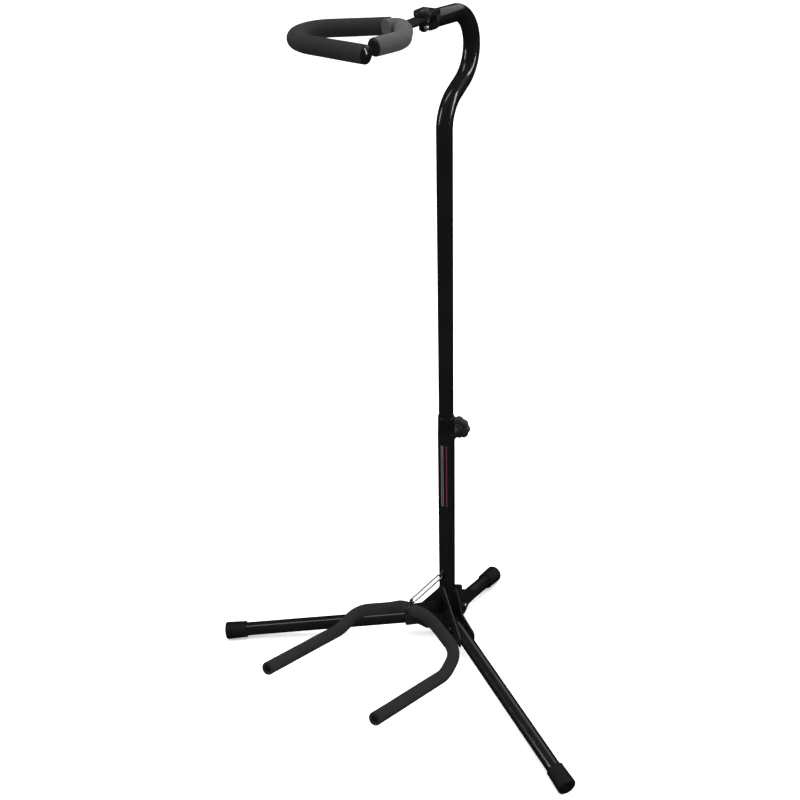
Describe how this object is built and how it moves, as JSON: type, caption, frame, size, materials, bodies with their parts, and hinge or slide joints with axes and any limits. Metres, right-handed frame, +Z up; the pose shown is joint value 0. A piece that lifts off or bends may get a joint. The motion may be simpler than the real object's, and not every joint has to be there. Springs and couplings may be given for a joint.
{
  "type": "folding instrument stand",
  "caption": "Folding tubular tripod stand with a padded lower yoke, a sliding crooked mast, and a padded neck holder with a swinging gate.",
  "frame": {"origin": "the point on the floor under the column's axis", "axes": "+Z up along the column; -Y is the front, where the lower yoke and the neck holder point; +Y is the short back leg"},
  "size_m": [0.5532, 0.4453, 0.8866],
  "materials": {
    "gloss_black_paint": "gloss black paint on steel tube",
    "satin_black_paint": "satin black paint on pressed steel",
    "bright_rivet": "zinc plated steel",
    "chrome_wire": "bright chrome",
    "black_plastic": "moulded matt black",
    "gloss_black_plastic": "polished black",
    "knob_plastic": "fine grained black",
    "nylon": "natural nylon",
    "black_rubber": "matt moulded rubber",
    "dark_foam": "closed cell foam, dark grey",
    "light_foam": "closed cell foam, mid grey"
  },
  "bodies": {
    "base": {"column_tube": "gloss_black_paint", "column_plug": "black_plastic", "hub_plate_front": "satin_black_paint", "hub_plate_left": "satin_black_paint", "hub_plate_right": "satin_black_paint", "leg_rivets": "bright_rivet", "stop_pins": "satin_black_paint", "yoke_strut": "satin_black_paint", "column_lug": "satin_black_paint", "tie_link": "chrome_wire", "height_collar": "gloss_black_plastic", "clamp_boss": "satin_black_paint"},
    "leg_left": {"leg_left": "gloss_black_paint", "foot_left": "black_rubber"},
    "leg_right": {"leg_right": "gloss_black_paint", "foot_right": "black_rubber"},
    "leg_back": {"leg_back": "gloss_black_paint", "foot_back": "black_rubber"},
    "yoke": {"yoke_rod": "gloss_black_paint", "yoke_foam_left": "dark_foam", "yoke_foam_right": "dark_foam", "yoke_end_caps": "black_plastic"},
    "slider": {"slide_plug": "black_plastic"},
    "mast": {"mast_tube": "gloss_black_paint", "mast_crook": "gloss_black_paint", "crook_housing": "black_plastic", "pivot_bolt": "satin_black_paint", "pivot_nut": "bright_rivet", "holder_bracket": "satin_black_paint", "holder_rod": "gloss_black_paint", "holder_foam": "light_foam", "holder_end_cap": "black_plastic"},
    "gate": {"gate_rod": "gloss_black_paint", "gate_foam": "dark_foam", "gate_cap": "gloss_black_plastic"},
    "screw_pad": {"clamp_pad": "nylon"},
    "knob": {"clamp_screw": "bright_rivet", "knob": "knob_plastic"}
  },
  "joints": [
    {"name": "leg_left_fold", "type": "hinge", "parent": "base", "child": "leg_left", "pos_m": [-0.02714, -0.01696, 0.03715], "axis": [0.5299, -0.848, 0], "range_deg": [0, 80]},
    {"name": "leg_right_fold", "type": "hinge", "parent": "base", "child": "leg_right", "pos_m": [0.02714, -0.01696, 0.03715], "axis": [0.5299, 0.848, 0], "range_deg": [0, 80]},
    {"name": "leg_back_fold", "type": "hinge", "parent": "base", "child": "leg_back", "pos_m": [0, 0.032, 0.03342], "axis": [-1, 0, 0], "range_deg": [0, 80]},
    {"name": "yoke_fold", "type": "hinge", "parent": "base", "child": "yoke", "pos_m": [-0.006, -0.088, 0.112], "axis": [-1, 0, 0], "range_deg": [0, 90]},
    {"name": "mast_slide", "type": "slide", "parent": "base", "child": "slider", "axis": [0, 0, 1], "range_m": [-0.2, 0.02]},
    {"name": "mast_swivel", "type": "hinge", "parent": "slider", "child": "mast", "pos_m": [0, 0, 0.29], "axis": [0, 0, 1], "continuous": true},
    {"name": "gate_swing", "type": "hinge", "parent": "mast", "child": "gate", "pos_m": [0, -0.04, 0.8723], "axis": [0, 0, -1], "range_deg": [0, 70]},
    {"name": "screw_travel", "type": "slide", "parent": "base", "child": "screw_pad", "axis": [0, 1, 0], "range_m": [0, 0.0021]},
    {"name": "knob_turn", "type": "hinge", "parent": "screw_pad", "child": "knob", "pos_m": [0, 0.033, 0.337], "axis": [0, 1, 0], "range_deg": [0, 720]}
  ],
  "couplings": [
    {"joint": "screw_travel", "follows": "knob_turn", "m_per_rad": 0.00015915}
  ]
}
